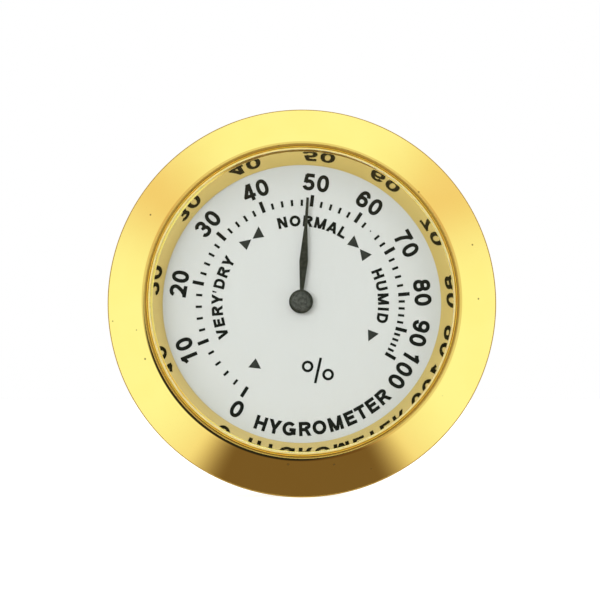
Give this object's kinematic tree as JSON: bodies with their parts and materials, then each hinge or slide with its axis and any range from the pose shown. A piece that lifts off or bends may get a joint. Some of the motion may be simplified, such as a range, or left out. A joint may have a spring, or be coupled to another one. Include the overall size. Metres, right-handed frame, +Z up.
{
  "type": "dial hygrometer",
  "caption": "Round press-in dial hygrometer with a polished gold-coloured conical bezel, silver dial, dark pointer, coil movement and a slotted calibration hub at the back.",
  "frame": {"origin": "on the case's axis, in the plane where the rear of the bezel's flange seats on the panel", "axes": "-Y out of the dial towards the viewer, +Y into the panel, +Z up through the 50 percent mark, +X to the viewer's right"},
  "size_m": [0.045, 0.013, 0.045],
  "materials": {
    "polished_gold": "mirror-polished gold-coloured plate",
    "mirror_gold": "mirror-bright gold-coloured plate",
    "clear_crystal": "clear polished",
    "pale_nylon": "satin translucent",
    "plated_barrel": "satin gold-coloured plate",
    "black_rubber": "matt",
    "black_plastic": "moulded satin",
    "brushed_dial": "fine vertical brushing under satin lacquer",
    "machined_brass": "turned",
    "plated_steel": "bright zinc plate",
    "humidity_strip": "lacquered strip",
    "dark_pointer": "satin dark grey paint"
  },
  "bodies": {
    "case": {"bezel": "polished_gold", "lens": "clear_crystal", "lens_gasket": "pale_nylon", "reflector_ring": "mirror_gold", "case_barrel": "plated_barrel", "grip_ring": "black_rubber", "back_cover": "black_plastic", "support_ring": "black_plastic", "dial_plate": "brushed_dial", "movement_plate": "machined_brass", "front_bearing_bush": "machined_brass", "pillar_left": "machined_brass", "pillar_right": "machined_brass", "movement_bridge": "machined_brass", "bridge_screw_left": "plated_steel", "bridge_screw_right": "plated_steel"},
    "calibration": {"calibration_hub": "machined_brass", "calibration_arm": "plated_steel", "coil_anchor_pin": "machined_brass", "friction_washer": "plated_steel", "hub_retaining_clip": "plated_steel"},
    "pointer": {"spindle": "plated_steel", "coil_collet": "machined_brass", "humidity_coil": "humidity_strip", "pointer": "dark_pointer", "pointer_hub": "dark_pointer"}
  },
  "joints": [
    {"name": "calibration_turn", "type": "hinge", "parent": "case", "child": "calibration", "pos_m": [-0.0001, 0.008, 0.00014], "axis": [0, 1, 0], "range_deg": [-20, 20]},
    {"name": "pointer_turn", "type": "hinge", "parent": "calibration", "child": "pointer", "pos_m": [-0.0001, 0.005, 0.00014], "axis": [0, 1, 0], "range_deg": [-151.4, 116.6], "stiffness_Nm_per_rad": 0.00005, "deforming": ["humidity_coil"]}
  ]
}
